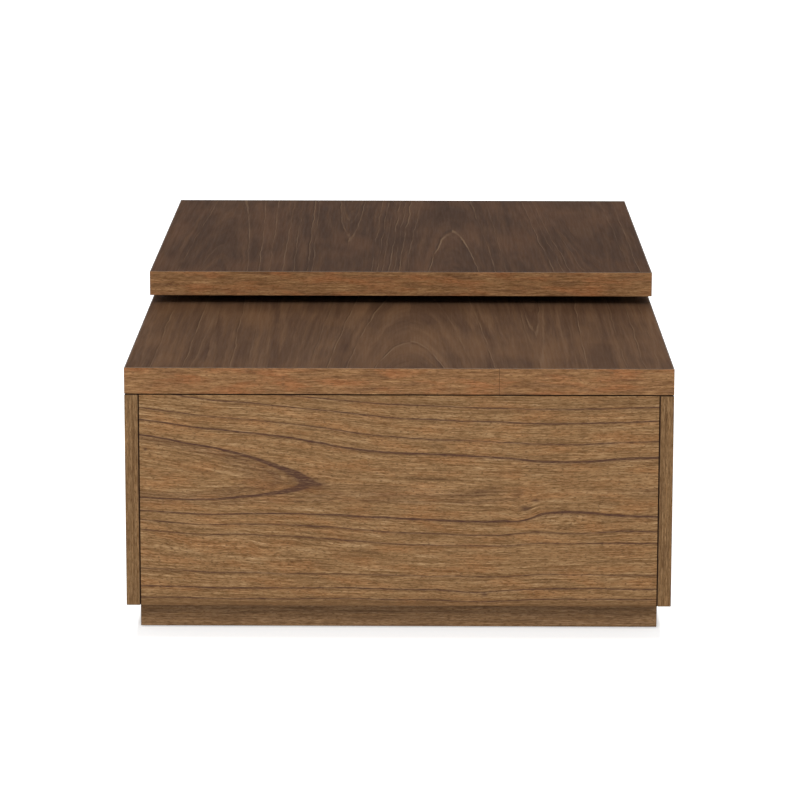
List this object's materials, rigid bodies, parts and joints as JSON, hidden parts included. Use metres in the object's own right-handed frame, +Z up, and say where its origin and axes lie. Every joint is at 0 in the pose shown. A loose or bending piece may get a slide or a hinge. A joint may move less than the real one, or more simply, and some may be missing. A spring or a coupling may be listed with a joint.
{
  "type": "coffee table",
  "caption": "Rectangular storage coffee table: a fixed top over a panelled case on a set-back plinth, and a raised lid on lift arms over part of it.",
  "frame": {"origin": "on the floor under the middle of the case", "axes": "+X towards the side that the lid opens to, +Y along the table from the bare end of the fixed top to the lidded end, +Z up"},
  "size_m": [0.813, 1.372, 0.4535],
  "materials": {
    "panel_veneer": "satin lacquered walnut-stained ash-grained veneer",
    "top_veneer": "satin lacquered dark brown veneer",
    "edging": "satin lacquered wood edging",
    "plinth_veneer": "satin lacquered brown veneer",
    "lining_board": "flat sealed brown board",
    "bare_wood": "bare planed softwood",
    "dark_wood": "dark stained wood",
    "rubber": "matte black",
    "nylon": "moulded",
    "black_steel": "black powder coat",
    "zinc_steel": "zinc plated",
    "spring_steel": "oiled spring wire"
  },
  "bodies": {
    "case": {"plinth_near": "plinth_veneer", "plinth_far": "plinth_veneer", "plinth_left": "plinth_veneer", "plinth_right": "plinth_veneer", "plinth_braces": "bare_wood", "plinth_blocks": "bare_wood", "plinth_screws": "zinc_steel", "floor_glides": "nylon", "storage_floor": "lining_board", "side_panel_left": "panel_veneer", "side_panel_right": "panel_veneer", "end_panel_near": "panel_veneer", "end_panel_far": "panel_veneer", "lift_rail_near": "lining_board", "lift_rail_far": "lining_board", "top_cleats": "bare_wood", "cleat_screws": "zinc_steel", "case_dowels": "bare_wood", "fixed_top": "top_veneer", "fixed_top_edging": "edging", "reveal_strips": "dark_wood", "lid_bumpers": "rubber", "base_plate_near": "black_steel", "base_plate_far": "black_steel", "base_plate_screws": "zinc_steel", "base_pivot_pins": "zinc_steel", "base_washers": "nylon", "stop_pins": "zinc_steel"},
    "rear_arms": {"rear_arm_near": "black_steel", "rear_arm_far": "black_steel", "spring_pegs": "zinc_steel", "lift_spring_near": "spring_steel", "lift_spring_far": "spring_steel"},
    "front_arms": {"front_arm_near": "black_steel", "front_arm_far": "black_steel"},
    "lid": {"lid_top_skin": "top_veneer", "lid_bottom_skin": "top_veneer", "lid_rails": "bare_wood", "lid_ribs": "bare_wood", "lid_edging": "edging", "lid_bracket_near": "black_steel", "lid_bracket_far": "black_steel", "bracket_screws": "zinc_steel", "lid_pivot_pins": "zinc_steel", "lid_washers": "nylon"}
  },
  "joints": [
    {"name": "rear_arm_hinge", "type": "hinge", "parent": "case", "child": "rear_arms", "pos_m": [0.06, 0.293, 0.337], "axis": [0, 1, 0], "range_deg": [0, 125]},
    {"name": "lid_hinge", "type": "hinge", "parent": "rear_arms", "child": "lid", "pos_m": [-0.18, 0.293, 0.337], "axis": [0, 1, 0], "range_deg": [-125, 0]},
    {"name": "front_arm_hinge", "type": "hinge", "parent": "case", "child": "front_arms", "pos_m": [0.12, 0.293, 0.372], "axis": [0, 1, 0], "range_deg": [0, 125]}
  ],
  "couplings": [
    {"joint": "lid_hinge", "follows": "rear_arm_hinge", "ratio": -1},
    {"joint": "front_arm_hinge", "follows": "rear_arm_hinge", "ratio": 1}
  ]
}
